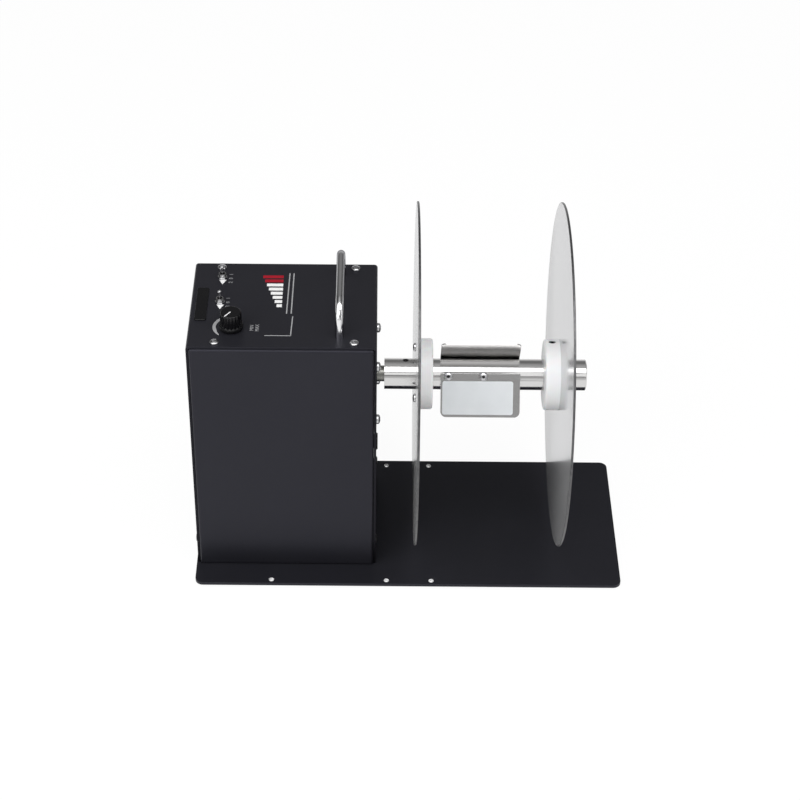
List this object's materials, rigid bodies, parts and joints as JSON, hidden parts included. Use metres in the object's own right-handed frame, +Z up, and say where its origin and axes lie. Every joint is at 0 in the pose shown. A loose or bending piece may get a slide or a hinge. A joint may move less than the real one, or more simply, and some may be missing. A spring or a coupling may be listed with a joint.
{
  "type": "label rewinder",
  "caption": "Bench label rewinder: a geared motor in a black sheet-metal housing turns a polished spindle with core-gripping fins between two round flanges, with torque knob and toggles on top.",
  "frame": {"origin": "on the bench, below the spindle axis and at the middle of the base plate's width: the middle of the underside of the overall box", "axes": "+X along the spindle away from the housing, +Y to the back (the operator stands at -Y), +Z up"},
  "size_m": [0.38, 0.3, 0.3235],
  "materials": {
    "black_paint": "semi-matt black powder coat",
    "foot_rubber": "matt black rubber",
    "bright_screws": "bright plated steel",
    "dark_screws": "black oxide steel",
    "zinc_steel": "zinc-plated steel",
    "chrome_rod": "polished chrome",
    "black_plastic": "satin black plastic",
    "drive_aluminium": "milled aluminium",
    "shaft_steel": "ground steel",
    "motor_paint": "dark grey paint",
    "magnet": "sintered ferrite",
    "board_green": "solder mask",
    "brass_parts": "turned brass",
    "component_blue": "sleeved components",
    "gear_steel": "hobbed steel",
    "rotor_steel": "laminated steel with copper windings",
    "polished_steel": "polished steel",
    "flange_aluminium": "polished aluminium",
    "white_plastic": "turned white plastic",
    "fin_stainless": "brushed stainless sheet",
    "pale_sticker": "plain pale film"
  },
  "bodies": {
    "housing": {"base_plate": "black_paint", "rubber_feet": "foot_rubber", "front_panel": "black_paint", "rear_panel": "black_paint", "cover": "black_paint", "cover_screws": "bright_screws", "side_screws": "dark_screws", "base_screws": "dark_screws", "press_nuts": "zinc_steel", "handle": "chrome_rod", "handle_screws": "zinc_steel", "nameplate": "black_plastic", "hole_plug": "black_plastic", "power_jack": "black_plastic", "drive_front_plate": "drive_aluminium", "drive_rear_plate": "drive_aluminium", "drive_pillars": "zinc_steel", "pillar_screws": "zinc_steel", "drive_mount_screws": "bright_screws", "shaft_bearings": "shaft_steel", "cluster_axle": "shaft_steel", "motor_can": "motor_paint", "motor_end_cap": "motor_paint", "motor_magnets": "magnet", "motor_screws": "zinc_steel", "control_board": "board_green", "board_standoffs": "brass_parts", "board_screws": "zinc_steel", "heat_sink": "drive_aluminium", "board_parts": "component_blue", "torque_pot": "zinc_steel", "torque_switch": "zinc_steel", "direction_switch": "zinc_steel", "control_nuts": "bright_screws"},
    "winding_spindle": {"drive_shaft": "shaft_steel", "output_gear": "gear_steel", "gear_key": "zinc_steel", "retaining_ring": "dark_screws", "spindle": "polished_steel", "set_screws": "dark_screws", "inner_flange": "flange_aluminium", "inner_hub": "white_plastic", "inner_flange_screws": "bright_screws", "front_fin": "fin_stainless", "upper_fin": "fin_stainless", "rear_fin": "fin_stainless", "fin_screws": "bright_screws", "fin_sticker": "pale_sticker"},
    "outer_flange_group": {"outer_flange": "flange_aluminium", "outer_hub": "white_plastic", "outer_flange_screws": "bright_screws", "outer_hub_screw": "dark_screws"},
    "cluster": {"cluster_gear": "gear_steel"},
    "rotor": {"motor_rotor": "rotor_steel", "motor_pinion": "gear_steel"},
    "knob": {"torque_knob": "black_plastic", "pot_shaft": "shaft_steel"},
    "torque_toggle": {"torque_lever": "chrome_rod"},
    "direction_toggle": {"direction_lever": "chrome_rod"}
  },
  "joints": [
    {"name": "spindle_spin", "type": "hinge", "parent": "housing", "child": "winding_spindle", "pos_m": [0, 0, 0.1735], "axis": [1, 0, 0], "continuous": true},
    {"name": "outer_flange_slide", "type": "slide", "parent": "winding_spindle", "child": "outer_flange_group", "axis": [1, 0, 0], "range_m": [-0.02, 0.045]},
    {"name": "cluster_spin", "type": "hinge", "parent": "housing", "child": "cluster", "pos_m": [-0.07, 0, 0.1435], "axis": [1, 0, 0], "continuous": true},
    {"name": "motor_spin", "type": "hinge", "parent": "housing", "child": "rotor", "pos_m": [-0.12, 0, 0.1735], "axis": [1, 0, 0], "continuous": true},
    {"name": "torque_knob_turn", "type": "hinge", "parent": "housing", "child": "knob", "pos_m": [-0.152, -0.034, 0.2455], "axis": [0, 0, -1], "range_deg": [0, 300]},
    {"name": "torque_switch_tilt", "type": "hinge", "parent": "housing", "child": "torque_toggle", "pos_m": [-0.1638, 0.04, 0.2467], "axis": [1, 0, 0], "range_deg": [-12.5, 12.5]},
    {"name": "direction_switch_tilt", "type": "hinge", "parent": "housing", "child": "direction_toggle", "pos_m": [-0.1638, 0.003, 0.2467], "axis": [1, 0, 0], "range_deg": [-12.5, 12.5]}
  ],
  "couplings": [
    {"joint": "cluster_spin", "follows": "spindle_spin", "ratio": -2.75},
    {"joint": "motor_spin", "follows": "spindle_spin", "ratio": 8.25}
  ]
}
